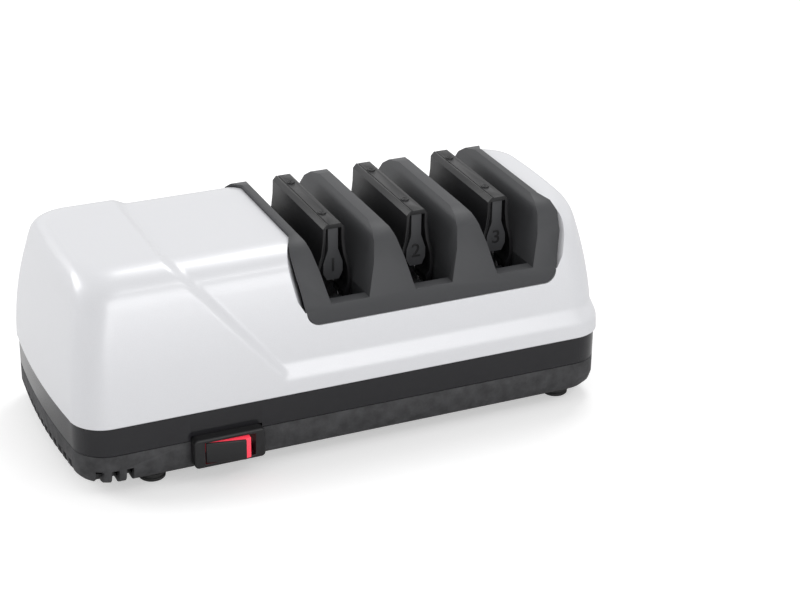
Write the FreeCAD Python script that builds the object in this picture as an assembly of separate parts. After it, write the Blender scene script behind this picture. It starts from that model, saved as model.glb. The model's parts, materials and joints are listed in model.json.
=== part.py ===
"""Three-stage electric knife sharpener: cover, base, stage module, motor and sharpening discs.

Millimetres. The origin is the bottom centre, on the plane of the feet. X runs along the body from the
motor end to the tower end, Y from front to back, Z upwards.
"""

import FreeCAD, Part
import math
import os

V = FreeCAD.Vector
AXIS_X = V(1, 0, 0)
AXIS_Y = V(0, 1, 0)
AXIS_Z = V(0, 0, 1)

# overall body
HALF_LENGTH = 127.0
HALF_DEPTH = 57.0
CORNER_RADIUS = 15.0
END_BOW = 4.0
TRAY_BOTTOM = 6.0
SEAM_HEIGHT = 20.5
COVER_BOTTOM = 34.0
SHOULDER_HEIGHT = 82.0
COVER_TOP = 97.0
SHOULDER_RUN_X = 8.0
SHOULDER_RUN_Y = 18.7
SHOULDER_LEAN_X = 3.1
SHOULDER_LEAN_Y = 4.0
WALL = 2.6
BASE_INSET = 0.8

# raised left block and the ledge round the skirt
RECESS = 2.0
LEDGE_LOW = 40.5
LEDGE_HIGH = 48.5
STEP_LINE = [(-33.0, 44.0), (-77.0, 96.0), (-80.0, 99.0)]

# opening for the stage module
OPEN_LEFT = -20.5
OPEN_RIGHT = 100.1
OPEN_BOTTOM = 61.8
OPEN_CORNER = 6.0
OPEN_REACH = 70.0
OPEN_TOP = 112.0
FLARE_LOW = 68.0
FLARE_STARTS = (46.0, 20.0)
FLARE_RUNS = (3.0, 30.0)
MODULE_GAP = 0.25
SIDE_WALL = 2.2

# three stages, each with one spring guide between two sloped walls
STAGES = 3
STAGE_PITCH = 39.8
STAGE_START = 0.0
CREASE_Z = 70.0
WALL_PROFILE = [(51.0, OPEN_BOTTOM), (49.5, CREASE_Z), (45.6, 84.0), (41.0, 92.0), (36.0, 95.4), (28.0, 97.0)]
SLOT_HALF_LOW = 8.9
SLOT_HALF_HIGH = 15.6
GUIDE_HALF_LENGTH = 30.5
GUIDE_TOP = 98.3
GUIDE_SHEET = 1.5
GUIDE_SCREW_PLACES = (-17.0, 20.6)

# drive line
SHAFT_Z = 46.0
SHAFT_R = 3.0
SHAFT_LEFT = -117.0
SHAFT_RIGHT = 102.0
DISC_R = 22.0
DISC_OFFSET = 6.2
CORE_LEFT = -92.0
CORE_RIGHT = -68.0
ROTOR_R = 16.1
ROTOR_GAP = 0.4

# switch
SWITCH_X = -60.1
SWITCH_Z = 15.9
BEZEL_HALF = (16.0, 6.9)
BEZEL_FRONT = -61.0
HINGE_Y = -56.0
ROCKER_REST = 12.0
ROCKER_HALF = 9.8
ROCKER_FACE = -63.0
CAP_END = 7.7
CAP_THICKNESS = 1.3

# cord gland in the back wall
GLAND_X = -100.0
GLAND_Z = 13.4

# feet and screws
FOOT_PLACES = [(-90.0, -43.0), (107.0, -42.0), (107.0, 42.0), (-90.0, 43.0)]
SCREW_PLACES = [(-106.0, -34.0), (108.0, -30.0), (108.0, 30.0), (-106.0, 34.0)]
FOOT_R = 6.3

stage_centres = [STAGE_START + STAGE_PITCH * i for i in range(STAGES)]
tray_floor = TRAY_BOTTOM + WALL


def box(x0, x1, y0, y1, z0, z1):
    return Part.makeBox(x1 - x0, y1 - y0, z1 - z0, V(x0, y0, z0))


def rod(radius, start, end):
    a = V(*start)
    b = V(*end)
    return Part.makeCylinder(radius, (b - a).Length, a, b - a)


def face_of(points):
    return Part.Face(Part.makePolygon(list(points) + [points[0]]))


def prism_y(points_xz, y0, y1):
    """A solid with the given outline in X and Z, from y0 to y1."""
    return face_of([V(x, y0, z) for x, z in points_xz]).extrude(V(0, y1 - y0, 0))


def prism_x(points_yz, x0, x1):
    return face_of([V(x0, y, z) for y, z in points_yz]).extrude(V(x1 - x0, 0, 0))


def outline(z, inset_x, inset_y, radius=CORNER_RADIUS):
    """Plan outline of the body at height z: straight front and back, bowed ends, round corners."""
    end = HALF_LENGTH - inset_x
    side = HALF_DEPTH - inset_y
    turn = side - radius
    shoulder = end - END_BOW * (turn / HALF_DEPTH) ** 2
    line_end = shoulder - radius
    diagonal = radius * math.sqrt(0.5)

    def corner(sx, sy, outward):
        points = [
            V(sx * line_end, sy * side, z),
            V(sx * (line_end + diagonal), sy * (turn + diagonal), z),
            V(sx * shoulder, sy * turn, z),
        ]
        if not outward:
            points.reverse()
        return Part.Arc(*points).toShape()

    edges = [
        Part.makeLine(V(-line_end, -side, z), V(line_end, -side, z)),
        corner(1, -1, True),
        Part.Arc(V(shoulder, -turn, z), V(end, 0, z), V(shoulder, turn, z)).toShape(),
        corner(1, 1, False),
        Part.makeLine(V(line_end, side, z), V(-line_end, side, z)),
        corner(-1, 1, True),
        Part.Arc(V(-shoulder, turn, z), V(-end, 0, z), V(-shoulder, -turn, z)).toShape(),
        corner(-1, -1, False),
    ]
    return Part.Wire(edges)


def loft(wires, ruled=True):
    return Part.makeLoft(wires, True, ruled)


def lean(z):
    """How far the ends and the long sides have leaned inwards at height z."""
    rise = max(0.0, z - COVER_BOTTOM)
    return rise**2 / 370.0, 0.08 * rise + rise**2 / 520.0


def shoulder(rise):
    """How far the rounded shoulder has run inwards at a share of its rise, following on from the lean."""
    across_x = SHOULDER_LEAN_X * rise + (SHOULDER_RUN_X - SHOULDER_LEAN_X) * (1 - math.sqrt(1 - rise**4))
    across_y = SHOULDER_LEAN_Y * rise + (SHOULDER_RUN_Y - SHOULDER_LEAN_Y) * (1 - math.sqrt(1 - rise**3))
    return across_x, across_y


def cover_form(level, bottom=COVER_BOTTOM):
    """The cover's outer form, drawn inwards by level."""
    wires = []
    for z in (bottom, 46.0, 58.0, 70.0, SHOULDER_HEIGHT):
        x_in, y_in = lean(z)
        wires.append(outline(z, x_in + level, y_in + level))
    x_in, y_in = lean(SHOULDER_HEIGHT)
    height = COVER_TOP - SHOULDER_HEIGHT - level
    for angle in (15, 30, 45, 60, 75, 90):
        rise = math.sin(math.radians(angle))
        x_run, y_run = shoulder(rise)
        wires.append(outline(SHOULDER_HEIGHT + height * rise, x_in + level + x_run, y_in + level + y_run))
    return loft(wires)


def block_mask(grow):
    """The region of the raised left block, seen from the front."""
    line = [(x + grow, z + 0.6 * grow) for x, z in STEP_LINE]
    left = -HALF_LENGTH - 5
    points = [(left, 30.0), (line[0][0] + 11, 30.0)] + line + [(line[-1][0], 110.0), (left, 110.0)]
    return prism_y(points, -70, 70)


def skirt_form():
    wires = []
    for z, level in ((COVER_BOTTOM, 0.0), (LEDGE_LOW, 0.0), (LEDGE_HIGH, RECESS + 0.3)):
        x_in, y_in = lean(z)
        wires.append(outline(z, x_in + level, y_in + level))
    return loft(wires)


def opening_form(gap):
    """The space in the cover that the stage module fills, drawn inwards by gap."""
    x0 = OPEN_LEFT + gap
    x1 = OPEN_RIGHT - gap
    z0 = OPEN_BOTTOM + gap
    front = -OPEN_REACH
    top = OPEN_TOP
    r = OPEN_CORNER
    corner = r * (1 - math.sqrt(0.5))
    edges = [
        Part.makeLine(V(x0, front, top), V(x0, front, z0 + r)),
        Part.Arc(V(x0, front, z0 + r), V(x0 + corner, front, z0 + corner), V(x0 + r, front, z0)).toShape(),
        Part.makeLine(V(x0 + r, front, z0), V(x1 - r, front, z0)),
        Part.Arc(V(x1 - r, front, z0), V(x1 - corner, front, z0 + corner), V(x1, front, z0 + r)).toShape(),
        Part.makeLine(V(x1, front, z0 + r), V(x1, front, top)),
        Part.makeLine(V(x1, front, top), V(x0, front, top)),
    ]
    form = Part.Face(Part.Wire(edges)).extrude(V(0, 2 * OPEN_REACH, 0))
    for sx, edge in ((-1, x0), (1, x1)):
        for sy in (-1, 1):
            triangles = []
            for z, start, run in zip((FLARE_LOW, top), FLARE_STARTS, FLARE_RUNS):
                plan = [(edge, start), (edge + sx * run, OPEN_REACH), (edge, OPEN_REACH), (edge, start)]
                triangles.append(Part.makePolygon([V(x, sy * y, z) for x, y in plan]))
            form = form.fuse(loft(triangles))
    return form.removeSplitter()


def export(name, shape):
    if isinstance(shape, list):
        shape = Part.makeCompound(shape)
    shape.exportStep("parts/" + name + ".step")
    solids = shape.Solids
    print(name, len(solids), "valid" if shape.isValid() else "INVALID", round(sum(s.Volume for s in solids)))


def top_cover():
    raised = cover_form(0.0).common(block_mask(0.0))
    middle = cover_form(RECESS / 2).common(block_mask(1.6))
    outer = cover_form(RECESS)
    for piece in (middle, raised, skirt_form()):
        outer = outer.fuse(piece)
    shell = outer.cut(cover_form(RECESS + WALL, COVER_BOTTOM - 5))
    posts = []
    for x, y in SCREW_PLACES:
        posts.append(rod(3.6, (x, y, SEAM_HEIGHT), (x, y, 90)))
    shell = shell.fuse(posts)
    side_walls = opening_form(-SIDE_WALL).common(cover_form(RECESS + 0.5))
    side_walls = side_walls.cut(box(OPEN_LEFT + 1, OPEN_RIGHT - 1, -70, 70, 30, 120))
    side_walls = side_walls.cut(box(-140, 140, -70, 70, 30, OPEN_BOTTOM + 1))
    shell = shell.fuse(side_walls)
    holes = [rod(1.7, (x, y, SEAM_HEIGHT - 1), (x, y, 42)) for x, y in SCREW_PLACES]
    return shell.cut(opening_form(0.0)).cut(holes)


def band():
    inset = BASE_INSET + WALL
    outer = loft([outline(z, BASE_INSET, BASE_INSET) for z in (SEAM_HEIGHT, COVER_BOTTOM)])
    inner = loft([outline(z, inset, inset) for z in (SEAM_HEIGHT - 1, COVER_BOTTOM + 1)])
    return outer.cut(inner).cut(bezel_block(0.1))


def tray():
    outside = [(TRAY_BOTTOM, 5.0), (7.0, 3.0), (9.0, 1.5), (12.0, BASE_INSET), (SEAM_HEIGHT, BASE_INSET)]
    inset = BASE_INSET + WALL
    inside = [(tray_floor, inset + 2), (12.0, inset), (25.0, inset)]
    outer, inner = [loft([outline(z, level, level) for z, level in rings]) for rings in (outside, inside)]
    shell = outer.cut(inner)
    for x, y in SCREW_PLACES:
        shell = shell.fuse(rod(4.4, (x, y, tray_floor - 1), (x, y, SEAM_HEIGHT)))
        shell = shell.cut(rod(1.8, (x, y, 0), (x, y, SEAM_HEIGHT + 1)))
        shell = shell.cut(rod(3.2, (x, y, 0), (x, y, 11.0)))
    for x, y in FOOT_PLACES:
        shell = shell.fuse(rod(3.6, (x, y, tray_floor - 1), (x, y, 15.0)))
        shell = shell.cut(rod(1.5, (x, y, 0), (x, y, 13.0)))
    for side in (-1, 1):
        pad = box(CORE_LEFT + 3, CORE_RIGHT - 3, min(side * 20, side * 28), max(side * 20, side * 28), 8, 12)
        shell = shell.fuse(pad)
    shell = shell.cut(vent_slots())
    shell = shell.cut(box(20, 60, -14, 14, 0, 12))
    shell = shell.cut(bezel_block(0.1))
    return shell.cut(rod(6.1, (GLAND_X, 40, GLAND_Z), (GLAND_X, 70, GLAND_Z)))


def vent_slots():
    """Notches along the bottom edge of the motor end and round its front corner."""
    slots = []
    pitch = 6.4
    for i in range(-6, 7):
        slots.append(box(-130, -112, i * pitch - 1.6, i * pitch + 1.6, 4, 13.5))
    for i in range(3):
        for sy in (-1, 1):
            x = -116 + i * pitch
            slots.append(box(x - 1.6, x + 1.6, min(sy * 47, sy * 60), max(sy * 47, sy * 60), 4, 13.5))
    return slots


def bezel_block(gap):
    hx = BEZEL_HALF[0] + gap
    hz = BEZEL_HALF[1] + gap
    block = box(SWITCH_X - hx, SWITCH_X + hx, BEZEL_FRONT, -50.8, SWITCH_Z - hz, SWITCH_Z + hz)
    along = [e for e in block.Edges if abs(e.tangentAt(e.FirstParameter).y) > 0.9]
    return block.makeFillet(2.0, along)


def bezel():
    recess = box(SWITCH_X - 11.4, SWITCH_X + 11.4, -70, -40, SWITCH_Z - 5.2, SWITCH_Z + 5.2)
    pins = rod(1.26, (SWITCH_X, HINGE_Y, SWITCH_Z - 6.3), (SWITCH_X, HINGE_Y, SWITCH_Z + 6.3))
    block = bezel_block(0.0)
    rim = [e for e in block.Edges if abs(e.CenterOfMass.y - BEZEL_FRONT) < 0.01]
    return block.makeFillet(0.9, rim).cut([recess, pins])


def turned(shape):
    """From the rocker's middle place to its place at rest, tower end out."""
    result = shape.copy()
    result.rotate(V(SWITCH_X, HINGE_Y, 0), AXIS_Z, -ROCKER_REST)
    return result


def rocker_prism(points):
    """A piece of the rocker from its outline in X and Y, with X counted from the hinge."""
    base = face_of([V(SWITCH_X + x, y, SWITCH_Z - 4.8) for x, y in points])
    return base.extrude(V(0, 0, 9.6))


def rocker_cap():
    back = ROCKER_FACE + CAP_THICKNESS
    points = [(-ROCKER_HALF, ROCKER_FACE), (CAP_END, ROCKER_FACE), (CAP_END, back), (-ROCKER_HALF, back)]
    return turned(rocker_prism(points))


def rocker_body():
    """Clear red body: it shows past the cap's tower end and down the sides."""
    front = ROCKER_FACE + CAP_THICKNESS
    back = [(ROCKER_HALF - 0.7, -57.5), (5.0, -53.0), (-5.0, -53.0), (0.7 - ROCKER_HALF, -57.5)]
    block = rocker_prism([(0.7 - ROCKER_HALF, front), (CAP_END, front), (ROCKER_HALF, front + 0.9)] + back)
    pins = rod(1.2, (SWITCH_X, HINGE_Y, SWITCH_Z - 6.1), (SWITCH_X, HINGE_Y, SWITCH_Z + 6.1))
    return turned(block.fuse(pins))


def switch_body():
    case = box(SWITCH_X - 12, SWITCH_X + 12, -50.8, -37, SWITCH_Z - 5.6, SWITCH_Z + 5.6)
    blades = []
    for x in (SWITCH_X - 7, SWITCH_X + 7):
        blades.append(box(x - 0.4, x + 0.4, -37, -31, SWITCH_Z - 3, SWITCH_Z + 3))
    return case.fuse(blades)


def slot_points(centre):
    """Section of the space between two walls: narrow below, wide above, with the walls' top edges eased."""
    right = [(SLOT_HALF_LOW - 0.3, 62.0), (SLOT_HALF_LOW, CREASE_Z), (SLOT_HALF_HIGH - 0.6, 93.4),
             (SLOT_HALF_HIGH + 0.2, 95.4), (SLOT_HALF_HIGH + 1.8, 97.3), (SLOT_HALF_HIGH + 1.8, 105.0)]
    return [(centre + x, z) for x, z in right] + [(centre - x, z) for x, z in reversed(right)]


def stage_module():
    profile = [(-y, z) for y, z in WALL_PROFILE] + WALL_PROFILE[::-1]
    body = opening_form(MODULE_GAP).common(prism_x(profile, OPEN_LEFT - 20, OPEN_RIGHT + 20))
    floor_plate = box(OPEN_LEFT + 1.5, OPEN_RIGHT - 1.5, -45, 45, 56.0, OPEN_BOTTOM + 0.4)
    body = body.fuse(floor_plate)
    legs = []
    for x in (-15.0, 94.0):
        for y in (-36.0, 36.0):
            legs.append(box(x - 4, x + 4, y - 4, y + 4, tray_floor, 57.0))
    body = body.fuse(legs)
    for centre in stage_centres:
        points = slot_points(centre)
        upper = prism_y([(x, max(z, CREASE_Z)) for x, z in points], -70, 70)
        lower = prism_y([(x, min(z, CREASE_Z + 0.1)) for x, z in points[:2] + points[-2:]], -44, 44)
        well = box(centre - 9.6, centre + 9.6, -26, 26, 50, 63)
        body = body.cut(upper).cut(lower).cut(well)
    return body.removeSplitter()


def guide_spring(centre):
    """Inverted-U guide of thin plastic: its arms bulge out towards the walls and turn in at their feet."""
    arm = [(3.4, GUIDE_TOP), (5.0, 96.4), (5.2, 90.0), (5.9, 84.0), (7.9, 77.0), (8.2, 71.0), (7.4, 65.0),
           (7.4, 62.2)]
    inner = [(x - GUIDE_SHEET, z) for x, z in arm[1:]]
    inner[0] = (3.6, GUIDE_TOP - 2.0)
    inner[-2] = (4.8, 65.5)
    inner[-1] = (4.8, 62.2)
    inner.insert(-2, (6.3, 67.5))
    right = arm + list(reversed(inner))
    points = right + [(-x, z) for x, z in reversed(right)]
    points = [(centre + x, z) for x, z in points]
    body = prism_y(points, -GUIDE_HALF_LENGTH, GUIDE_HALF_LENGTH)
    return body.cut(box(centre - 12, centre + 12, -18.5, 18.5, 55, 71.5))


def guide_post(centre):
    """Centre post between the arms, held by two screws under the guide's top."""
    right = [(2.4, GUIDE_TOP - 2.0), (2.4, 86.0), (4.6, 79.5), (4.6, 75.0), (2.9, 71.5)]
    points = right + [(-x, z) for x, z in reversed(right)]
    points = [(centre + x, z) for x, z in points]
    post = prism_y(points, -GUIDE_HALF_LENGTH + 0.8, GUIDE_HALF_LENGTH - 0.8)
    holes = [rod(1.0, (centre, y, 88), (centre, y, 100)) for y in GUIDE_SCREW_PLACES]
    return post.cut(holes)


def guide_screws():
    screws = []
    for centre in stage_centres:
        for y in GUIDE_SCREW_PLACES:
            head = Part.makeCylinder(1.9, 0.5, V(centre, y, GUIDE_TOP - 0.1))
            shank = Part.makeCylinder(0.95, 9.0, V(centre, y, GUIDE_TOP - 9.0))
            screws.append(head.fuse(shank))
    return screws


def drilled_spring(centre):
    spring = guide_spring(centre)
    for y in GUIDE_SCREW_PLACES:
        spring = spring.cut(rod(1.0, (centre, y, 92), (centre, y, 100)))
        spring = spring.cut(rod(2.0, (centre, y, GUIDE_TOP - 0.1), (centre, y, 100)))
    return spring


def drive_shaft():
    return rod(SHAFT_R, (SHAFT_LEFT, 0, SHAFT_Z), (SHAFT_RIGHT, 0, SHAFT_Z))


def turned_profile(points_xr, centre=0.0, mirror=1):
    """Solid of revolution about the shaft from points of place along X and radius."""
    face = face_of([V(centre + mirror * x, 0, SHAFT_Z + r) for x, r in points_xr])
    return face.revolve(V(0, 0, SHAFT_Z), AXIS_X, 360)


def sharpening_disc(centre, side):
    inner = DISC_OFFSET
    points = [(inner - 2.4, SHAFT_R), (inner - 2.4, 6.5), (inner - 0.6, 7.0), (inner + 0.4, DISC_R),
              (inner + 1.2, DISC_R), (inner + 2.2, 8.0), (inner + 2.2, SHAFT_R)]
    return turned_profile(points, centre, side)


def disc_spring(centre):
    reach = DISC_OFFSET - 2.4
    return turned_profile([(-reach, 4.2), (-reach, 5.4), (reach, 5.4), (reach, 4.2)], centre)


def stator_core():
    core = box(CORE_LEFT, CORE_RIGHT, -29, 29, 12, 70)
    core = core.cut(rod(ROTOR_R + ROTOR_GAP, (CORE_LEFT - 1, 0, SHAFT_Z), (CORE_RIGHT + 1, 0, SHAFT_Z)))
    core = core.cut(box(CORE_LEFT - 1, CORE_RIGHT + 1, -15, 15, 20.5, 27.5))
    return core.cut([rod(1.9, (CORE_LEFT - 1, y, SHAFT_Z), (CORE_RIGHT + 1, y, SHAFT_Z)) for y in (-24, 24)])


def stator_coil():
    outer = box(CORE_LEFT - 6, CORE_RIGHT + 6, -14.8, 14.8, 8.8, 27.3)
    long_edges = [e for e in outer.Edges if abs(e.tangentAt(e.FirstParameter).y) > 0.9]
    outer = outer.makeFillet(2.5, long_edges)
    return outer.cut(box(CORE_LEFT, CORE_RIGHT, -20, 20, 12, 20.5))


def rotor_core():
    left = [(CORE_LEFT, SHAFT_R), (CORE_LEFT, ROTOR_R)]
    return turned_profile(left + [(CORE_RIGHT, ROTOR_R), (CORE_RIGHT, SHAFT_R)])


def cooling_fan():
    blades = 7
    hub = turned_profile([(-116, SHAFT_R), (-116, 8), (-107.5, 8), (-107.5, SHAFT_R)])
    for i in range(blades):
        blade = box(-115.5, -108, -0.9, 0.9, SHAFT_Z + 6.5, SHAFT_Z + 24)
        blade.rotate(V(-112, 0, SHAFT_Z), AXIS_Z, 18)
        blade.rotate(V(0, 0, SHAFT_Z), AXIS_X, 360.0 / blades * i)
        hub = hub.fuse(blade)
    return hub


def bearing_bracket(face_x, side):
    """Bearing plate on two stand-offs that sit on the motor core's face."""
    far = face_x + side * 10
    out = far + side * 2
    plate = box(min(far, out), max(far, out), -28, 28, SHAFT_Z - 8, SHAFT_Z + 8)
    posts = [rod(3.6, (face_x, y, SHAFT_Z), (far + side, y, SHAFT_Z)) for y in (-24, 24)]
    body = plate.fuse(posts)
    body = body.cut([rod(1.9, (face_x, y, SHAFT_Z), (out + side, y, SHAFT_Z)) for y in (-24, 24)])
    return body.cut(rod(5.0, (far - side, 0, SHAFT_Z), (out + side, 0, SHAFT_Z)))


def bush(x0, x1):
    return turned_profile([(x0, SHAFT_R + 0.04), (x0, 5.0), (x1, 5.0), (x1, SHAFT_R + 0.04)])


def motor_bolts():
    bolts = []
    for y in (-24, 24):
        shank = rod(1.7, (CORE_LEFT - 12, y, SHAFT_Z), (CORE_RIGHT + 14, y, SHAFT_Z))
        head = rod(3.0, (CORE_LEFT - 14, y, SHAFT_Z), (CORE_LEFT - 12, y, SHAFT_Z))
        bolts.append(shank.fuse(head))
    return bolts


def end_bearing_stand():
    stand = box(98.2, 101.2, -10, 10, tray_floor, 54.5)
    return stand.cut(rod(5.0, (97, 0, SHAFT_Z), (103, 0, SHAFT_Z)))


def dust_partition():
    plate = box(-26, -24, -44, 44, tray_floor, 56)
    return plate.cut(rod(5.0, (-27, 0, SHAFT_Z), (-23, 0, SHAFT_Z)))


def cleanout_cover():
    plate = box(20.3, 59.7, -13.7, 13.7, TRAY_BOTTOM, tray_floor)
    ribs = [box(22, 58, y - 0.6, y + 0.6, tray_floor - 0.1, tray_floor + 3) for y in (-10, 10)]
    grip = box(34, 46, -14, -10.8, TRAY_BOTTOM - 1, TRAY_BOTTOM + 1.2)
    return plate.fuse(ribs).cut(grip)


def rubber_foot(x, y):
    body = Part.makeCone(FOOT_R - 0.5, FOOT_R, TRAY_BOTTOM, V(x, y, 0))
    body = body.cut(rod(2.7, (x, y, -1), (x, y, 3)))
    return body.cut(rod(1.5, (x, y, 2), (x, y, 7)))


def foot_screw(x, y):
    head = Part.makeCylinder(2.5, 1.6, V(x, y, 1.4))
    return head.fuse(Part.makeCylinder(1.4, 9.5, V(x, y, 3.0)))


def cover_screw(x, y):
    head = Part.makeCylinder(3.0, 2.4, V(x, y, 8.6))
    return head.fuse(Part.makeCylinder(1.6, 28.0, V(x, y, 11.0)))


def cord_gland(reach):
    """Empty gland in the back wall; its collar stands out as far as the rocker does in front."""
    bore = 3.4
    points = [(50.0, bore), (50.0, 6.0), (56.4, 6.0), (56.4, 7.0), (58.4, 7.0), (reach, 5.6), (reach, bore)]
    face = face_of([V(GLAND_X, y, GLAND_Z + r) for y, r in points])
    return face.revolve(V(GLAND_X, 0, GLAND_Z), AXIS_Y, 360)


cap = rocker_cap()
export("top_cover", top_cover())
export("base_band", band())
export("base_tray", tray())
export("stage_module", stage_module())
for number, centre in enumerate(stage_centres, 1):
    export("guide_spring_%d" % number, drilled_spring(centre))
    export("guide_post_%d" % number, guide_post(centre))
    export("sharpening_disc_%d_left" % number, sharpening_disc(centre, -1))
    export("sharpening_disc_%d_right" % number, sharpening_disc(centre, 1))
    export("disc_spring_%d" % number, disc_spring(centre))
export("guide_screws", guide_screws())
export("switch_bezel", bezel())
export("rocker_cap", cap)
export("rocker_body", rocker_body())
export("switch_body", switch_body())
export("drive_shaft", drive_shaft())
export("stator_core", stator_core())
export("stator_coil", stator_coil())
export("rotor_core", rotor_core())
export("cooling_fan", cooling_fan())
export("bearing_bracket_left", bearing_bracket(CORE_LEFT, -1))
export("bearing_bracket_right", bearing_bracket(CORE_RIGHT, 1))
export("bearing_bush_left", bush(-104.5, -101.5))
export("bearing_bush_right", bush(-58.5, -55.5))
export("end_bearing_bush", bush(98.2, 101.2))
export("end_bearing_stand", end_bearing_stand())
export("motor_bolts", motor_bolts())
export("dust_partition", dust_partition())
export("dust_magnet", box(4, 16, -14, 14, tray_floor, 13))
export("cleanout_cover", cleanout_cover())
for number, (x, y) in enumerate(FOOT_PLACES, 1):
    export("rubber_foot_%d" % number, rubber_foot(x, y))
export("foot_screws", [foot_screw(x, y) for x, y in FOOT_PLACES])
export("cover_screws", [cover_screw(x, y) for x, y in SCREW_PLACES])
export("cord_gland", cord_gland(-cap.BoundBox.YMin))
print("rocker front", round(cap.BoundBox.YMin, 3))
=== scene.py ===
"""The looks of the three-stage electric knife sharpener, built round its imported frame.

Sizes are in millimetres, apart from those that a comment gives in metres, and are turned to metres as each
mesh is made. X runs from the motor end to the tower end, Y from front to back, Z upwards.
"""

import json
import math

import bmesh
import bpy
import numpy as np
from mathutils import Matrix, Vector

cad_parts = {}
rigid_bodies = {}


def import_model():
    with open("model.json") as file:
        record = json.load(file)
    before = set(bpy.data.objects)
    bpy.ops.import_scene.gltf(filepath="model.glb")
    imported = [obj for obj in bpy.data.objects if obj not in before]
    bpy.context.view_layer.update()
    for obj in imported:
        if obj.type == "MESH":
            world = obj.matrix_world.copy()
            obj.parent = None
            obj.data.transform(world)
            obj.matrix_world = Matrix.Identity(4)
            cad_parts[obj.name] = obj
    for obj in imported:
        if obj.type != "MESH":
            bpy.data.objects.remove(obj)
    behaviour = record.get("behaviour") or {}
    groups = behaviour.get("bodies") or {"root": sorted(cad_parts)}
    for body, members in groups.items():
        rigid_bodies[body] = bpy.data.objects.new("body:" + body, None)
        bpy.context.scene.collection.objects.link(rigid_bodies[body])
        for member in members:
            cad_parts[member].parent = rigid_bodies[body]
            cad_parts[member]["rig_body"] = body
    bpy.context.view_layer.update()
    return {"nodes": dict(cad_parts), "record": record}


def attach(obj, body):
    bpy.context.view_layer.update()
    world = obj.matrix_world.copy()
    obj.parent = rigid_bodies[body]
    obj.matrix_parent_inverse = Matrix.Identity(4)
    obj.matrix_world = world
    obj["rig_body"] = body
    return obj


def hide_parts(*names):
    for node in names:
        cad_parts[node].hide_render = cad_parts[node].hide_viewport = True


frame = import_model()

nodes = frame["nodes"]
MM = 0.001

# angles, in degrees, past which an edge stays sharp and is bevelled, and below which faces are one
SMOOTH_ANGLE = 32.0
BEVEL_ANGLE = 30.0
FLAT_ANGLE = 1.0

# distances, in metres, within which a mesh's points are merged and its slivers dropped
MERGE = 1e-6
SLIVER = 1e-7
COPY_MERGE = 2e-6

# cover, band and tray
HALF_LENGTH = 127.0
HALF_DEPTH = 57.0
CORNER_RADIUS = 15.0
END_BOW = 4.0
COVER_BOTTOM = 34.0
SEAM_HEIGHT = 20.5
SHOULDER_HEIGHT = 82.0
COVER_TOP = 97.0
SHOULDER_RUN = (8.0, 18.7)
SHOULDER_LEAN = (3.1, 4.0)
SHOULDER_POWERS = (4, 3)
END_LEAN_CURVE = 370.0
SIDE_LEAN_SLOPE = 0.08
SIDE_LEAN_CURVE = 520.0
RECESS = 2.0
COVER_WALL = 2.6
LEDGE = (39.8, 48.5)
STEP_LINE = [(-33.0, 44.0), (-77.0, 96.0), (-80.0, 99.0)]
STEP_SLANT = 0.78
STEP_SOFTNESS = 1.9
CENTRE_LINE = 100.0
BASE_INSET = 0.8
RIM_EASE = 0.35
BAND_EASE = (0.35, 0.4)
SEAM_GAPS = (0.05, 0.02)

# how finely the cover is ruled: start, step and count of its places along a side and of its heights
PLACES_ALONG = [(-1.0, 0.028, 5), (-0.87, 0.0078, 82), (-0.225, 0.035, 36)]
OUTER_HEIGHTS = [(36.0, 1.6, 2), (39.0, 0.6, 18), (50.2, 0.95, 34)]
INNER_HEIGHTS = [COVER_BOTTOM, 45.0, 58.0, 70.0]
FORM_HEIGHTS = [COVER_BOTTOM, 58.0, 70.0]

# opening for the stage module
OPEN_LEFT = -20.5
OPEN_RIGHT = 100.1
OPEN_BOTTOM = 61.8
OPEN_CORNER = 6.0
OPEN_REACH = 70.0
OPEN_TOP = 112.0
FLARE_LOW = 68.0
FLARE_STARTS = (46.0, 20.0)
FLARE_RUNS = (3.0, 30.0)
SIDE_WALL = 2.2
LINING_RISE = 1.0
LINING_DEPTH = 0.6
OVERLAP = 0.5

# three stages
STAGES = 3
STAGE_PITCH = 39.8
GUIDE_TOP = 98.3
GUIDE_SCREWS = (-17.0, 20.6)
POST_FRONT = -29.7
GROOVE_X = -2.6
GROOVE = 0.35
NUMBER_SIZE = 9.0
NUMBER_Z = 78.4
NUMBER_DEPTH = 0.18
NUMBER_EASE = 0.08

# switch
SWITCH_X = -60.1
SWITCH_Z = 15.9
BEZEL_HALF = (16.0, 6.9)
BEZEL_BACK = -50.8
BEZEL_GAP = 0.1
CUTTER_FRONT = -66.0

# feet
FOOT_PLACES = [(-90.0, -43.0), (107.0, -42.0), (107.0, 42.0), (-90.0, 43.0)]
FOOT_R = 6.3
FOOT_HEIGHT = 6.0
FOOT_GROOVES = (1.5, 3.6)
FOOT_GROOVE_DEPTH = 0.45
FOOT_GROOVE_RISES = (0.2, 0.7, 0.9)
FOOT_LIP = 0.07
FOOT_EASE = 0.3
FOOT_TAPER = 0.5
FOOT_BORE = 1.5
FOOT_HEAD_BORE = 2.7
FOOT_HEAD_DEPTH = 3.0

# camera fitted to the photograph, floor, lamps and sky: places and sizes in metres, the lens in millimetres
AZIMUTH = math.radians(24.49)
ELEVATION = math.radians(25.73)
ROLL = math.radians(-0.85)
CAMERA_PLACE = (-0.30713, -0.77514, 0.45024)
CAMERA_LENS = 91.32
CAMERA_SENSOR = 36.0
FLOOR_REACH = 6.0
FLOOR_GLOW = 0.42
LAMP_AIM = (0.0, 0.0, 0.05)
SKY_ON_OBJECT = 0.52
SKY_SEEN = 1.0

stage_centres = [STAGE_PITCH * i for i in range(STAGES)]


def lean(z):
    """How far the ends and the long sides have leaned inwards at height z."""
    rise = np.maximum(0.0, z - COVER_BOTTOM)
    return rise**2 / END_LEAN_CURVE, SIDE_LEAN_SLOPE * rise + rise**2 / SIDE_LEAN_CURVE


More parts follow.
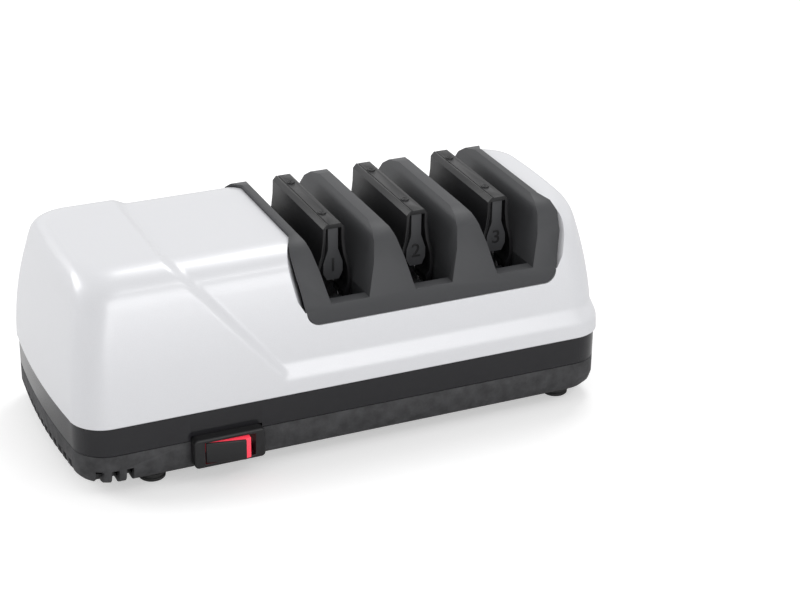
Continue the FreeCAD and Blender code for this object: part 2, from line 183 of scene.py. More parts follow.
def shoulder(rise):
    """How far the rounded shoulder has run inwards at a share of its rise, following on from the lean."""
    across = []
    for run, start, power in zip(SHOULDER_RUN, SHOULDER_LEAN, SHOULDER_POWERS):
        bend = 1.0 - math.sqrt(max(0.0, 1.0 - rise**power))
        across.append(start * rise + (run - start) * bend)
    return across


def smooth(value, low, high):
    t = np.clip((value - low) / (high - low), 0.0, 1.0)
    return t * t * (3.0 - 2.0 * t)


def evenly(runs):
    """Values in runs of even steps, each given by its start, step and count."""
    return [start + step * i for start, step, count in runs for i in range(count)]


def round_plan(front, corner_steps=10, end_steps=10):
    """Places round the plan, counter-clockwise: kind (0 side, 1 corner, 2 end), signs, share or angle."""
    places = []
    quarter = [math.radians(90.0 * i / corner_steps) for i in range(1, corner_steps)]
    ends = [2.0 * i / end_steps - 1.0 for i in range(end_steps + 1)]
    places += [(0, 0, -1, t) for t in front]
    places += [(1, 1, -1, a) for a in quarter]
    places += [(2, 1, 0, t) for t in ends]
    places += [(1, 1, 1, a) for a in reversed(quarter)]
    places += [(0, 0, 1, t) for t in reversed(front)]
    places += [(1, -1, 1, a) for a in quarter]
    places += [(2, -1, 0, t) for t in reversed(ends)]
    places += [(1, -1, -1, a) for a in reversed(quarter)]
    return np.array(places, float)


def plan(places, inset_x, inset_y):
    """X and Y of every place, with its own insets."""
    kind, sx, sy, t = places.T
    side = HALF_DEPTH - inset_y
    end = HALF_LENGTH - inset_x
    turn = side - CORNER_RADIUS
    end_at_corner = end - END_BOW * (turn / HALF_DEPTH) ** 2
    line_end = end_at_corner - CORNER_RADIUS
    x = np.where(kind == 0, t * line_end, 0.0)
    y = np.where(kind == 0, sy * side, 0.0)
    x = np.where(kind == 1, sx * (line_end + CORNER_RADIUS * np.sin(t)), x)
    y = np.where(kind == 1, sy * (turn + CORNER_RADIUS * np.cos(t)), y)
    x = np.where(kind == 2, sx * (end - (end - end_at_corner) * t**2), x)
    y = np.where(kind == 2, t * turn, y)
    return x, y


def recess_at(x, z):
    """How far the cover is set back at a place, from its step line and its ledge."""
    line_z = [p[1] for p in STEP_LINE]
    line_x = [p[0] for p in STEP_LINE]
    away = (x - np.interp(z, line_z, line_x)) * STEP_SLANT
    return RECESS * smooth(away, -STEP_SOFTNESS, STEP_SOFTNESS) * smooth(z, *LEDGE)


def flat_ring(x, y, z):
    return np.stack([x, y, np.full(len(x), z)], axis=1)


def cover_rings(places, heights, shoulder_steps, top_steps, level=None):
    """Rings of the cover from rim to middle, set back by its step and ledge, or evenly by a level."""

    def depth(x, z):
        return recess_at(x, z) if level is None else np.full(len(places), level)

    rings = []
    height = COVER_TOP - SHOULDER_HEIGHT
    steps = [(z, 0.0) for z in heights]
    steps += [(SHOULDER_HEIGHT, math.radians(90.0 * i / shoulder_steps)) for i in range(shoulder_steps + 1)]
    for z, angle in steps:
        lean_x, lean_y = lean(z)
        rise = math.sin(angle)
        run_x, run_y = shoulder(rise)
        x = plan(places, lean_x + run_x, lean_y + run_y)[0]
        d = depth(x, z + height * rise)
        x, y = plan(places, lean_x + run_x + d, lean_y + run_y + d)
        rings.append(np.stack([x, y, z + (height - d) * rise], axis=1))
    edge = rings[-1]
    for i in range(1, top_steps + 1):
        share = i / top_steps
        x = edge[:, 0] + (np.clip(edge[:, 0], -CENTRE_LINE, CENTRE_LINE) - edge[:, 0]) * share
        y = edge[:, 1] * (1.0 - share)
        flat = np.full(len(places), COVER_TOP)
        rings.append(np.stack([x, y, COVER_TOP - depth(x, flat)], axis=1))
    return rings


def stitch(rings):
    """Vertices and faces of closed rings that follow each other."""
    count = len(rings[0])
    faces = []
    for r in range(len(rings) - 1):
        for i in range(count):
            j = (i + 1) % count
            faces.append((r * count + i, r * count + j, (r + 1) * count + j, (r + 1) * count + i))
    return np.concatenate(rings), faces


def new_object(name, mesh):
    made = bpy.data.objects.new(name, mesh)
    bpy.context.scene.collection.objects.link(made)
    return made


def mesh_of(name, points, faces, scale=MM):
    mesh = bpy.data.meshes.new(name)
    mesh.from_pydata([tuple(float(c) * scale for c in p) for p in points], [], faces)
    return tidy_mesh(mesh)


def tidy_mesh(mesh):
    """Doubles merged and faces outwards."""
    work = bmesh.new()
    work.from_mesh(mesh)
    bmesh.ops.remove_doubles(work, verts=work.verts, dist=MERGE)
    bmesh.ops.dissolve_degenerate(work, edges=work.edges, dist=SLIVER)
    bmesh.ops.recalc_face_normals(work, faces=work.faces)
    work.to_mesh(mesh)
    work.free()
    mesh.update()
    return mesh


def settle(made):
    """The object's evaluated shape as its own plain mesh, with no modifier left."""
    graph = bpy.context.evaluated_depsgraph_get()
    mesh = bpy.data.meshes.new_from_object(made.evaluated_get(graph))
    made.modifiers.clear()
    made.data = mesh
    return made


def cut(made, *cutters, operation="DIFFERENCE"):
    for cutter in cutters:
        step = made.modifiers.new("cut", "BOOLEAN")
        step.operation = operation
        step.solver = "EXACT"
        step.object = cutter
        bpy.context.view_layer.update()
        settle(made)
    return made


def ease(made, width, segments):
    """Rounded edges by bevelling."""
    step = made.modifiers.new("ease", "BEVEL")
    step.width = width * MM
    step.segments = segments
    step.limit_method = "ANGLE"
    step.angle_limit = math.radians(BEVEL_ANGLE)
    step.harden_normals = False
    step.use_clamp_overlap = True
    bpy.context.view_layer.update()
    return settle(made)


def shade(mesh):
    """Smooth faces that break at sharp edges."""
    mesh.polygons.foreach_set("use_smooth", [True] * len(mesh.polygons))
    mesh.set_sharp_from_angle(angle=math.radians(SMOOTH_ANGLE))
    mesh.update()


def prism(name, outline, y0, y1):
    """A cutter or block with an outline in X and Z, from y0 to y1."""
    count = len(outline)
    points = [(x, y0, z) for x, z in outline] + [(x, y1, z) for x, z in outline]
    faces = [tuple(range(count)), tuple(range(2 * count - 1, count - 1, -1))]
    for i in range(count):
        j = (i + 1) % count
        faces.append((i, i + count, j + count, j))
    return new_object(name, mesh_of(name, points, faces))


def hull(name, points):
    work = bmesh.new()
    verts = [work.verts.new([c * MM for c in p]) for p in points]
    bmesh.ops.convex_hull(work, input=verts)
    mesh = bpy.data.meshes.new(name)
    work.to_mesh(mesh)
    work.free()
    return new_object(name, tidy_mesh(mesh))


def discard(*objects):
    for o in objects:
        bpy.data.objects.remove(o)


def lathe(name, section, centre, steps):
    """A ring turned about an upright line, from its closed section of radius and height."""
    angle = np.linspace(0.0, 2.0 * math.pi, steps, endpoint=False)
    x, y = centre
    rings = []
    for radius, z in section + section[:1]:
        rings.append(flat_ring(x + radius * np.cos(angle), y + radius * np.sin(angle), z))
    return new_object(name, mesh_of(name, *stitch(rings)))


class Value:
    """A socket of a material's nodes, so that shader sums are written as plain sums."""

    def __init__(self, finish, socket):
        self.finish = finish
        self.socket = socket

    def maths(self, operation, first, second):
        return self.finish.node("ShaderNodeMath", {"operation": operation}, {0: first, 1: second})

    def __add__(self, other):
        return self.maths("ADD", self, other)

    def __radd__(self, other):
        return self.maths("ADD", other, self)

    def __sub__(self, other):
        return self.maths("SUBTRACT", self, other)

    def __rsub__(self, other):
        return self.maths("SUBTRACT", other, self)

    def __mul__(self, other):
        return self.maths("MULTIPLY", self, other)


class Finish:
    """One material. Its constants go on the shader's own sockets."""

    def __init__(self, name, **constants):
        self.material = bpy.data.materials.new(name)
        self.material.use_nodes = True
        self.tree = self.material.node_tree
        self.shader = self.tree.nodes["Principled BSDF"]
        for key, value in constants.items():
            self.shader.inputs[key.replace("_", " ")].default_value = value
        self.place = self.node("ShaderNodeTexCoord", {}, {}, "Object")

    def node(self, kind, settings, sockets, out=0):
        made = self.tree.nodes.new(kind)
        for key, value in settings.items():
            setattr(made, key, value)
        for key, value in sockets.items():
            self.feed(made.inputs[key], value)
        return Value(self, made.outputs[out])

    def feed(self, socket, value):
        if isinstance(value, Value):
            self.tree.links.new(value.socket, socket)
        else:
            socket.default_value = value

    def set(self, **values):
        for key, value in values.items():
            self.feed(self.shader.inputs[key.replace("_", " ")], value)

    def noise(self, size, detail=3.0, stretch=(1.0, 1.0, 1.0)):
        """Noise whose features are about size millimetres across."""
        place = self.node("ShaderNodeMapping", {}, {"Vector": self.place, "Scale": stretch})
        sockets = {"Vector": place, "Scale": 1000.0 / size, "Detail": detail, "Roughness": 0.6}
        return self.node("ShaderNodeTexNoise", {}, sockets)

    def ramp(self, value, low, high):
        return self.node("ShaderNodeMapRange", {}, {"Value": value, "From Min": low, "From Max": high})

    def mix(self, factor, first, second):
        sockets = {"Factor": factor, 6: first, 7: second}
        return self.node("ShaderNodeMix", {"data_type": "RGBA"}, sockets, 2)

    def bump(self, height, distance):
        sockets = {"Height": height, "Distance": distance * MM, "Strength": 1.0}
        return self.node("ShaderNodeBump", {}, sockets)

    # Painted highlight: a mask of sharp convex edges, which are lightened as if they caught the light.
    def worn_edge(self, low=0.53, high=0.62):
        pointed = self.node("ShaderNodeNewGeometry", {}, {}, "Pointiness")
        return self.ramp(pointed, low, high)


def tone(colour, factor):
    return tuple(min(1.0, c * factor) for c in colour) + (1.0,)


def plastic(name, colour, roughness, grain, depth, variation=0.06, sheen_and_tarnish=0.25, **constants):
    """Moulded plastic: a fine spark-eroded grain, slight clouding, and a painted highlight that lightens
    its sharp edges.
    """
    finish = Finish(name, **constants)
    clouds = finish.noise(24.0)
    fine = finish.noise(grain, 2.0)
    body = finish.mix(clouds, tone(colour, 1.0 - variation), tone(colour, 1.0 + variation))
    # painted highlight: sharp edges lightened towards a paler tone
    body = finish.mix(finish.worn_edge() * sheen_and_tarnish, body, tone(colour, 1.6))
    finish.set(
        Base_Color=body,
        Roughness=roughness + (clouds - 0.5) * 0.10 + (fine - 0.5) * 0.08,
        Normal=finish.bump(fine, depth),
    )
    return finish.material


def metal(name, colour, roughness, stretch, sheen_and_tarnish=0.3, grain=0.35, depth=0.004):
    """Metal with its tool marks drawn out along one direction, and a little tarnish."""
    finish = Finish(name, Metallic=1.0)
    marks = finish.noise(grain, 4.0, stretch)
    tarnish = finish.noise(9.0)
    body = finish.mix(marks, tone(colour, 0.86), tone(colour, 1.08))
    body = finish.mix(finish.ramp(tarnish, 0.5, 0.75) * sheen_and_tarnish, body, tone(colour, 0.6))
    finish.set(
        Base_Color=body,
        Roughness=roughness + (marks - 0.5) * 0.22 + (tarnish - 0.5) * 0.1,
        Normal=finish.bump(marks, depth),
    )
    return finish.material


def pearl_paint(name):
    """Silver pearl paint: fine bright flakes under a clear coat, over a faint ripple of the moulding."""
    colour = (0.735, 0.74, 0.765)
    finish = Finish(name, Metallic=0.12, Coat_Weight=0.35, Coat_Roughness=0.16)
    flakes = finish.noise(0.22, 1.0)
    ripple = finish.noise(14.0, 2.0)
    body = finish.mix(flakes, tone(colour, 0.93), tone(colour, 1.06))
    # painted highlight: the cover's sharp edges lightened towards pale grey
    body = finish.mix(finish.worn_edge(0.55, 0.70) * 0.3, body, (0.9, 0.9, 0.91, 1.0))
    finish.set(
        Base_Color=body,
        Roughness=0.36 + (flakes - 0.5) * 0.16 + (ripple - 0.5) * 0.06,
        Normal=finish.bump(flakes * 0.35 + ripple * 0.65, 0.012),
    )
    return finish.material


def mottled_tray(name):
    colour = (0.040, 0.040, 0.042)
    finish = Finish(name, Specular_IOR_Level=0.3)
    pits = finish.noise(0.9, 4.0)
    patches = finish.noise(5.5, 4.0)
    body = finish.mix(finish.ramp(patches, 0.3, 0.7), tone(colour, 0.7), tone(colour, 1.5))
    # painted highlight: the tray's sharp edges lightened to a paler tone
    body = finish.mix(finish.worn_edge() * 0.3, body, tone(colour, 2.0))
    finish.set(
        Base_Color=body,
        Roughness=0.62 + (pits - 0.5) * 0.3,
        Normal=finish.bump(pits * 0.6 + patches * 0.4, 0.12),
    )
    return finish.material


def polished_band(name):
    colour = (0.012, 0.0118, 0.0138)
    finish = Finish(name, Specular_IOR_Level=0.32, Coat_Weight=0.12, Coat_Roughness=0.05)
    ripple = finish.noise(22.0, 2.0)
    dust = finish.noise(0.6, 2.0)
    body = finish.mix(finish.ramp(dust, 0.62, 0.8) * 0.25, tone(colour, 1.0), tone(colour, 2.2))
    # painted highlight: the band's sharp edges lightened to a paler tone
    body = finish.mix(finish.worn_edge() * 0.25, body, tone(colour, 2.5))
    finish.set(
        Base_Color=body,
        Roughness=0.13 + finish.ramp(dust, 0.5, 0.9) * 0.14 + (ripple - 0.5) * 0.06,
        Normal=finish.bump(ripple, 0.02),
    )
    return finish.material


def diamond_grit(name):
    """Steel disc faced with bonded abrasive: sharp bright points in a dull binder."""
    finish = Finish(name, Metallic=0.85)
    points = finish.node("ShaderNodeTexVoronoi", {}, {"Vector": finish.place, "Scale": 2600.0}, "Distance")
    patches = finish.noise(3.0)
    sparkle = 1.0 - finish.ramp(points, 0.0, 0.45)
    body = finish.mix(sparkle, (0.36, 0.36, 0.37, 1.0), (0.82, 0.82, 0.84, 1.0))
    body = finish.mix(finish.ramp(patches, 0.5, 0.8) * 0.3, body, (0.25, 0.25, 0.26, 1.0))
    finish.set(Base_Color=body, Roughness=0.48 - sparkle * 0.2, Normal=finish.bump(sparkle, 0.06))
    return finish.material


def wrapped_coil(name):
    """Woven tape round the coil, in slanted turns."""
    finish = Finish(name)
    turns = finish.node(
        "ShaderNodeTexWave",
        {"bands_direction": "DIAGONAL"},
        {"Vector": finish.place, "Scale": 42.0, "Distortion": 0.6},
    )
    weave = finish.noise(0.3, 2.0, (1.0, 3.0, 1.0))
    body = finish.mix(finish.ramp(turns, 0.2, 0.35), (0.30, 0.21, 0.03, 1.0), (0.66, 0.50, 0.09, 1.0))
    finish.set(
        Base_Color=body, Roughness=0.5 + (weave - 0.5) * 0.2, Normal=finish.bump(turns + weave * 0.3, 0.2)
    )
    return finish.material


SATIN = {"Specular_IOR_Level": 0.28}
# painted glow: a faint emission that brightens the red of the rocker, which holds no lamp
PAINTED_GLOW = {"Emission_Color": (1.0, 0.05, 0.09, 1.0), "Emission_Strength": 0.45}
FINISHES = {
    "cover_shell": pearl_paint("pearl_paint"),
    "band_gloss": polished_band("polished_band"),
    "tray_plastic": mottled_tray("mottled_tray"),
    "module_plastic": plastic("module_grain", (0.048, 0.049, 0.052), 0.46, 0.45, 0.035, **SATIN),
    "guide_plastic": plastic("guide_grain", (0.012, 0.012, 0.013), 0.38, 0.5, 0.03, **SATIN),
    "switch_black": plastic("bezel_satin", (0.018, 0.018, 0.019), 0.34, 0.5, 0.02, **SATIN),
    "rocker_black": plastic("rocker_satin", (0.020, 0.020, 0.021), 0.34, 0.4, 0.02, **SATIN),
    "rocker_red": plastic("rocker_red", (0.90, 0.05, 0.085), 0.28, 0.8, 0.01, 0.04, 0.1, **PAINTED_GLOW),
    "inner_plastic": plastic("natural_moulding", (0.48, 0.47, 0.43), 0.5, 0.6, 0.03),
    "shaft_steel": metal("ground_steel", (0.60, 0.60, 0.61), 0.24, (1.0, 6.0, 6.0)),
    "screw_steel": metal("plated_steel", (0.55, 0.55, 0.57), 0.3, (1.0, 1.0, 1.0)),
    "lamination_steel": metal("stacked_sheet", (0.30, 0.30, 0.31), 0.42, (9.0, 0.6, 0.6), 0.5),
    "coil_wrap": wrapped_coil("tape_wrap"),
    "bracket_alloy": metal("cast_alloy", (0.66, 0.66, 0.67), 0.45, (1.0, 1.0, 1.0), 0.3, 0.8, 0.03),
    "bush_bronze": metal("sintered_bronze", (0.55, 0.36, 0.16), 0.4, (1.0, 1.0, 1.0), 0.35, 0.4, 0.02),
    "magnet_ferrite": metal("ferrite", (0.09, 0.09, 0.095), 0.5, (1.0, 1.0, 1.0), 0.2, 0.3, 0.01),
    "abrasive_disc": diamond_grit("diamond_grit"),
    "foot_rubber": plastic("rubber", (0.018, 0.018, 0.018), 0.72, 0.7, 0.05, 0.15, 0.1),
}


def fit(made, body, slot, replaced=()):
    """Gives a piece its finish and its body, and hides the CAD nodes it stands for."""
    made.data.materials.clear()
    made.data.materials.append(FINISHES[slot])
    shade(made.data)
    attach(made, body)
    if replaced:
        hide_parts(*replaced)


def copy_of(node, name):
    """The node's own shape as a clean mesh, its flat faces whole again."""
    mesh = nodes[node].data.copy()
    mesh.name = name
    work = bmesh.new()
    work.from_mesh(mesh)
    bmesh.ops.remove_doubles(work, verts=work.verts, dist=COPY_MERGE)
    flat = math.radians(FLAT_ANGLE)
    bmesh.ops.dissolve_limit(work, angle_limit=flat, verts=work.verts, edges=work.edges)
    work.to_mesh(mesh)
    work.free()
    return new_object(name, mesh)


def rounded_opening():
    """Outline of the opening from the front, with round lower corners."""
    steps = 8
    corner = [math.radians(90.0 * i / steps) for i in range(steps + 1)]
    r = OPEN_CORNER
    points = [(OPEN_LEFT, OPEN_TOP)]
    points += [(OPEN_LEFT + r - r * math.cos(a), OPEN_BOTTOM + r - r * math.sin(a)) for a in corner]
    points += [(OPEN_RIGHT - r + r * math.sin(a), OPEN_BOTTOM + r - r * math.cos(a)) for a in corner]
    return points + [(OPEN_RIGHT, OPEN_TOP)]


def opening_flare(edge, sx, sy, out):
    """Where the opening widens towards a long side, moved outwards by out."""
    inside = edge - sx * OVERLAP
    edge += sx * out
    points = []
    for z, start, run in zip((FLARE_LOW, OPEN_TOP), FLARE_STARTS, FLARE_RUNS):
        for x, y in ((inside, start), (edge, start), (edge + sx * run, OPEN_REACH), (inside, OPEN_REACH)):
            points.append((x, sy * y, z))
    return hull("flare", points)


def side_lining(edge, sx, form):
    """The cover's wall beside the opening, as far out as the form reaches."""
    x0, x1 = sorted((edge - sx * OVERLAP, edge + sx * SIDE_WALL))
    low = OPEN_BOTTOM + LINING_RISE
    corners = [(x0, low), (x1, low), (x1, OPEN_TOP), (x0, OPEN_TOP)]
    lining = prism("side_lining", corners, -OPEN_REACH, OPEN_REACH)
    for sy in (-1, 1):
        grown = opening_flare(edge, sx, sy, SIDE_WALL)
        cut(lining, grown, operation="UNION")
        discard(grown)
    return cut(lining, form, operation="INTERSECT")


def plain_cover(places):
    """A solid a little inside the cover's outer face, that ends the linings."""
    rings = cover_rings(places, FORM_HEIGHTS, shoulder_steps=8, top_steps=4, level=RECESS + LINING_DEPTH)
    points, faces = stitch(rings)
    faces.append(tuple(reversed(range(len(places)))))
    return new_object("plain_cover", mesh_of("plain_cover", points, faces))


def cover_skin():
    """The smooth skin with the raised block's step and the ledge, over a plain inner face."""
    places = round_plan([t for t in evenly(PLACES_ALONG) if t < 1.0] + [1.0])
    heights = [COVER_BOTTOM, COVER_BOTTOM + RIM_EASE] + evenly(OUTER_HEIGHTS)
    outer = cover_rings(places, heights, shoulder_steps=18, top_steps=14)
    outer[0] = flat_ring(*plan(places, RIM_EASE, RIM_EASE), COVER_BOTTOM)
    inner = cover_rings(places, INNER_HEIGHTS, shoulder_steps=6, top_steps=4, level=RECESS + COVER_WALL)
    made = new_object("cover_skin", mesh_of("cover_skin", *stitch(inner[::-1] + outer)))

    sides = ((-1, OPEN_LEFT), (1, OPEN_RIGHT))
    form = plain_cover(places)
    for sx, edge in sides:
        lining = side_lining(edge, sx, form)
        cut(made, lining, operation="UNION")
        discard(lining)
    cutters = [prism("opening_cutter", rounded_opening(), -OPEN_REACH, OPEN_REACH)]
    cutters += [opening_flare(edge, sx, sy, 0.0) for sx, edge in sides for sy in (-1, 1)]
    cut(made, *cutters)
    discard(form, *cutters)
    return made


def switch_cutter():
    """The place of the switch's bezel in the band."""
    hx, hz = [half + BEZEL_GAP for half in BEZEL_HALF]
    corners = [(SWITCH_X + sx * hx, SWITCH_Z + sz * hz) for sx, sz in ((-1, -1), (1, -1), (1, 1), (-1, 1))]
    return prism("switch_cutter", corners, CUTTER_FRONT, BEZEL_BACK)


def band_ring():
    """The polished band: a wall with eased edges, from its section of heights and insets."""
    places = round_plan(evenly([(-1.0, 0.1, 21)]), corner_steps=16, end_steps=16)
    low = SEAM_HEIGHT + SEAM_GAPS[0]
    high = COVER_BOTTOM - SEAM_GAPS[1]
    low_ease, high_ease = BAND_EASE
    inner = BASE_INSET + COVER_WALL
    section = [(low, BASE_INSET + low_ease), (low + low_ease, BASE_INSET)]
    section += [(COVER_BOTTOM - high_ease, BASE_INSET), (high, BASE_INSET + high_ease)]
    section += [(high, inner), (low, inner)]
    rings = [flat_ring(*plan(places, inset, inset), z) for z, inset in section + section[:1]]
    made = new_object("band_ring", mesh_of("band_ring", *stitch(rings)))
    cutter = switch_cutter()
    cut(made, cutter)
    discard(cutter)
    return made


def groove_top(made, centre):
    """Cuts the fine groove along a guide's top."""
    left = centre + GROOVE_X
    deep = GUIDE_TOP - GROOVE
    sides = [(left, deep), (left + GROOVE, deep), (left + GROOVE, OPEN_TOP), (left, OPEN_TOP)]
    cutter = prism("groove", sides, -OPEN_REACH, OPEN_REACH)
    cut(made, cutter)
    discard(cutter)


fit(cover_skin(), "housing", "cover_shell", ["top_cover"])
fit(band_ring(), "housing", "band_gloss", ["base_band"])

slot_of = {part["node"]: part["material_slot"] for part in frame["record"]["subparts"]}
for name, node in nodes.items():
    node.data.materials.clear()
    node.data.materials.append(FINISHES[slot_of[name]])

# CAD nodes whose edges are eased: the node, the new piece, the bevel's width and its segments
EASED = [
    ("stage_module", "stage_walls", 0.5, 3),
    ("switch_bezel", "switch_frame", 0.35, 2),
    ("rocker_cap", "rocker_face", 0.5, 3),
    # the rocker's red body, whose finish carries a painted glow
    ("rocker_body", "rocker_light", 0.35, 2),
    ("base_tray", "tray_shell", 0.35, 2),
]
EASED += [("guide_spring_%d" % n, "guide_arms_%d" % n, 0.35, 2) for n in range(1, STAGES + 1)]
EASED += [("guide_post_%d" % n, "guide_core_%d" % n, 0.7, 3) for n in range(1, STAGES + 1)]
for node, name, width, segments in EASED:
    made = copy_of(node, name)
    if name.startswith("guide_arms"):
        groove_top(made, stage_centres[int(name[-1]) - 1])
    fit(ease(made, width, segments), nodes[node]["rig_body"], slot_of[node], [node])


def repeat_tree():
    """Geometry Nodes: its own input shape, repeated in a grid of named counts and pitches."""
    tree = bpy.data.node_groups.new("repeat_in_grid", "GeometryNodeTree")
    sockets = tree.interface
    sockets.new_socket("Geometry", in_out="INPUT", socket_type="NodeSocketGeometry")
    for label in ("Columns", "Rows"):
        sockets.new_socket(label, in_out="INPUT", socket_type="NodeSocketInt")
    for label in ("Column Pitch", "Row Pitch"):
        sockets.new_socket(label, in_out="INPUT", socket_type="NodeSocketVector")
    sockets.new_socket("Finish", in_out="INPUT", socket_type="NodeSocketMaterial")
    sockets.new_socket("Geometry", in_out="OUTPUT", socket_type="NodeSocketGeometry")

    def node(kind, **settings):
        made = tree.nodes.new(kind)
        for key, value in settings.items():
            setattr(made, key, value)
        return made

    given = node("NodeGroupInput").outputs
    points = None
    for count, pitch in (("Columns", "Column Pitch"), ("Rows", "Row Pitch")):
        line = node("GeometryNodeMeshLine", mode="OFFSET", count_mode="TOTAL")
        tree.links.new(given[count], line.inputs["Count"])
        tree.links.new(given[pitch], line.inputs["Offset"])
        placed = node("GeometryNodeInstanceOnPoints")
        tree.links.new(line.outputs["Mesh"], placed.inputs["Points"])
        tree.links.new(points or given["Geometry"], placed.inputs["Instance"])
        points = placed.outputs["Instances"]
    whole = node("GeometryNodeRealizeInstances")
    finish = node("GeometryNodeSetMaterial")
    out = node("NodeGroupOutput")
    tree.links.new(points, whole.inputs["Geometry"])
    tree.links.new(whole.outputs["Geometry"], finish.inputs["Geometry"])
    tree.links.new(given["Finish"], finish.inputs["Material"])
    tree.links.new(finish.outputs["Geometry"], out.inputs["Geometry"])
    return tree


REPEAT = repeat_tree()


def repeated(made, columns, rows, column_pitch, row_pitch, slot):
    """The object's shape repeated in a grid, as a plain mesh."""
    step = made.modifiers.new("repeat", "NODES")
    step.node_group = REPEAT
    values = {
        "Columns": columns,
        "Rows": rows,
        "Column Pitch": Vector(column_pitch) * MM,
        "Row Pitch": Vector(row_pitch) * MM,
        "Finish": FINISHES[slot],
    }
    for item in REPEAT.interface.items_tree:
        if item.in_out == "INPUT" and item.name in values:
            step[item.identifier] = values[item.name]
    bpy.context.view_layer.update()
    return settle(made)


def guide_screw_heads():
    """Low domes with a ring pressed into them, two on each guide."""
    section = [(0.3, -0.6), (1.85, -0.6), (1.85, 0.1), (1.7, 0.38), (1.35, 0.4)]
    section += [(1.2, 0.22), (0.9, 0.22), (0.75, 0.36), (0.3, 0.4)]
    front, back = GUIDE_SCREWS
    raised = [(radius, GUIDE_TOP + z) for radius, z in section]
    made = lathe("guide_screw_heads", raised, (0.0, front), steps=40)
    return repeated(made, STAGES, 2, (STAGE_PITCH, 0, 0), (0, back - front, 0), "guide_plastic")


def raised_number(number, centre):
    """A generic stage number standing on the front of the guide's core."""
    text = bpy.data.curves.new("stage_number", "FONT")
    text.body = str(number)
    text.size = NUMBER_SIZE * MM
    text.extrude = NUMBER_DEPTH * MM
    text.bevel_depth = NUMBER_EASE * MM
    text.align_x = "CENTER"
    text.align_y = "CENTER"
    flat = new_object("stage_number", text)
    bpy.context.view_layer.update()
    mesh = bpy.data.meshes.new_from_object(flat.evaluated_get(bpy.context.evaluated_depsgraph_get()))
    discard(flat)
    upright = Matrix.Rotation(math.radians(90.0), 4, "X")
    mesh.transform(Matrix.Translation(Vector((centre, POST_FRONT, NUMBER_Z)) * MM) @ upright)
    return new_object("stage_number_%d" % number, tidy_mesh(mesh))


def grooved_foot(name, place):
    """A rubber foot with two grooves round it, and a bore for the screw."""
    base = FOOT_R - FOOT_TAPER
    section = [(FOOT_HEAD_BORE, 0.0), (base - FOOT_EASE, 0.0), (base, FOOT_EASE)]
    for low in FOOT_GROOVES:
        radius = base + FOOT_TAPER * low / FOOT_HEIGHT
        deep = radius - FOOT_GROOVE_DEPTH
        floor_low, floor_high, lip = [low + rise for rise in FOOT_GROOVE_RISES]
        section += [(radius, low), (deep, floor_low), (deep, floor_high), (radius + FOOT_LIP, lip)]
    section += [(FOOT_R, FOOT_HEIGHT), (FOOT_BORE, FOOT_HEIGHT)]
    section += [(FOOT_BORE, FOOT_HEAD_DEPTH), (FOOT_HEAD_BORE, FOOT_HEAD_DEPTH)]
    return lathe(name, section, place, steps=48)


fit(guide_screw_heads(), "housing", "guide_plastic", ["guide_screws"])
for number, centre in enumerate(stage_centres, 1):
    fit(raised_number(number, centre), "housing", "guide_plastic")
for number, place in enumerate(FOOT_PLACES, 1):
    foot = grooved_foot("grooved_foot_%d" % number, place)
    fit(foot, "housing", "foot_rubber", ["rubber_foot_%d" % number])


def photo_camera():
    """The camera at the photograph's place and angle."""
    flat = math.cos(ELEVATION)
    forward = Vector((math.sin(AZIMUTH) * flat, math.cos(AZIMUTH) * flat, -math.sin(ELEVATION)))
    level = Vector((math.cos(AZIMUTH), -math.sin(AZIMUTH), 0.0))
    down = forward.cross(level)
    across = level * math.cos(ROLL) + down * math.sin(ROLL)
    below = down * math.cos(ROLL) - level * math.sin(ROLL)
    data = bpy.data.cameras.new("camera")
    data.lens = CAMERA_LENS
    data.sensor_width = CAMERA_SENSOR
    made = new_object("camera", data)
    turn = Matrix((across, -below, -forward)).transposed().to_4x4()
    made.matrix_world = Matrix.Translation(CAMERA_PLACE) @ turn
    return made


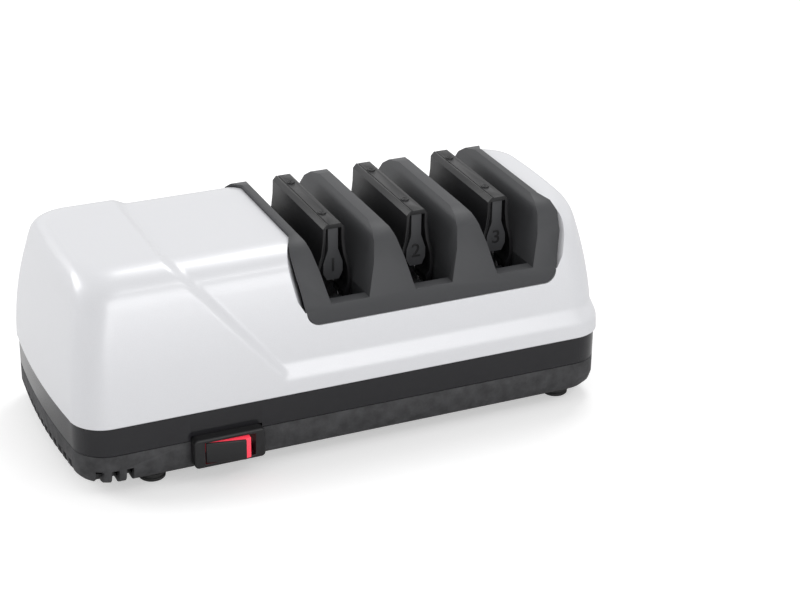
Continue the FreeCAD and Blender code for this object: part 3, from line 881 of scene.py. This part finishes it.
def floor_finish():
    finish = Finish("pale_floor", Roughness=0.9, Specular_IOR_Level=0.1)
    grain = finish.noise(40.0)
    finish.set(Base_Color=finish.mix(grain, (0.80, 0.80, 0.80, 1.0), (0.82, 0.82, 0.82, 1.0)))
    seen = finish.node("ShaderNodeLightPath", {}, {}, "Is Camera Ray")
    finish.set(Emission_Color=finish.mix(seen, (0.0, 0.0, 0.0, 1.0), (1.0, 1.0, 1.0, 1.0)))
    finish.shader.inputs["Emission Strength"].default_value = FLOOR_GLOW
    return finish.material


def pale_floor():
    reach = FLOOR_REACH
    corners = [(-reach, -reach, 0), (reach, -reach, 0), (reach, reach, 0), (-reach, reach, 0)]
    made = new_object("floor", mesh_of("floor", corners, [(0, 1, 2, 3)], 1.0))
    made.data.materials.append(floor_finish())
    return made


def lamp(name, place, size, power):
    data = bpy.data.lights.new(name, "AREA")
    data.shape = "RECTANGLE"
    data.size, data.size_y = size
    data.energy = power
    facing = (Vector(LAMP_AIM) - Vector(place)).to_track_quat("-Z", "Y")
    new_object(name, data).matrix_world = Matrix.Translation(place) @ facing.to_matrix().to_4x4()


def studio_world():
    """A soft white sky, stronger where it is seen straight or in a reflection than where it lights."""
    made = bpy.data.worlds.new("studio")
    made.use_nodes = True
    tree = made.node_tree
    rays = tree.nodes.new("ShaderNodeLightPath")
    seen = rays.outputs["Is Camera Ray"]
    for ray in ("Is Glossy Ray", "Is Transmission Ray"):
        either = tree.nodes.new("ShaderNodeMath")
        either.operation = "MAXIMUM"
        tree.links.new(seen, either.inputs[0])
        tree.links.new(rays.outputs[ray], either.inputs[1])
        seen = either.outputs[0]
    strength = tree.nodes.new("ShaderNodeMapRange")
    strength.inputs["To Min"].default_value = SKY_ON_OBJECT
    strength.inputs["To Max"].default_value = SKY_SEEN
    tree.links.new(seen, strength.inputs["Value"])
    background = tree.nodes["Background"]
    background.inputs["Color"].default_value = (1.0, 1.0, 1.0, 1.0)
    tree.links.new(strength.outputs["Result"], background.inputs["Strength"])
    return made


bpy.context.scene.camera = photo_camera()
pale_floor()
lamp("top_strip", (0.50, 0.48, 1.25), (0.50, 0.44), 5.0)
lamp("front_strip", (0.54, -0.82, 1.10), (0.80, 0.14), 1.6)
lamp("front_key", (0.20, -1.60, 0.50), (1.3, 0.8), 8.0)
lamp("left_key", (-1.2, 0.75, 0.75), (0.8, 0.8), 9.0)
bpy.context.scene.world = studio_world()
bpy.context.scene.view_settings.view_transform = "Standard"
